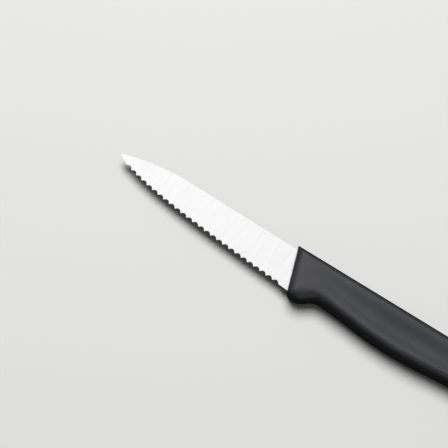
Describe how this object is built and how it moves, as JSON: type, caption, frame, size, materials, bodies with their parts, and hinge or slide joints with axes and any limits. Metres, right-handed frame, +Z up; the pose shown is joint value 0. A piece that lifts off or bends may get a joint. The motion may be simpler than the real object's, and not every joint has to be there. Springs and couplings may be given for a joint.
{
  "type": "serrated vegetable knife",
  "caption": "Small kitchen knife with a pointed, scalloped stainless blade set in a black moulded plastic handle with a guard and finger recess.",
  "frame": {"origin": "centre of the knife's box on the surface it lies on, which is a place on the flat lower side of the handle, behind the guard", "axes": "+X from the tip to the butt, +Y from the cutting edge to the spine, +Z up through the thickness, with the knife lying on its right side"},
  "size_m": [0.1936, 0.0196, 0.011],
  "materials": {
    "blade_steel": "satin ground stainless steel",
    "handle_plastic": "fine matt moulded polypropylene"
  },
  "bodies": {
    "root": {"blade": "blade_steel", "handle": "handle_plastic"}
  },
  "joints": []
}
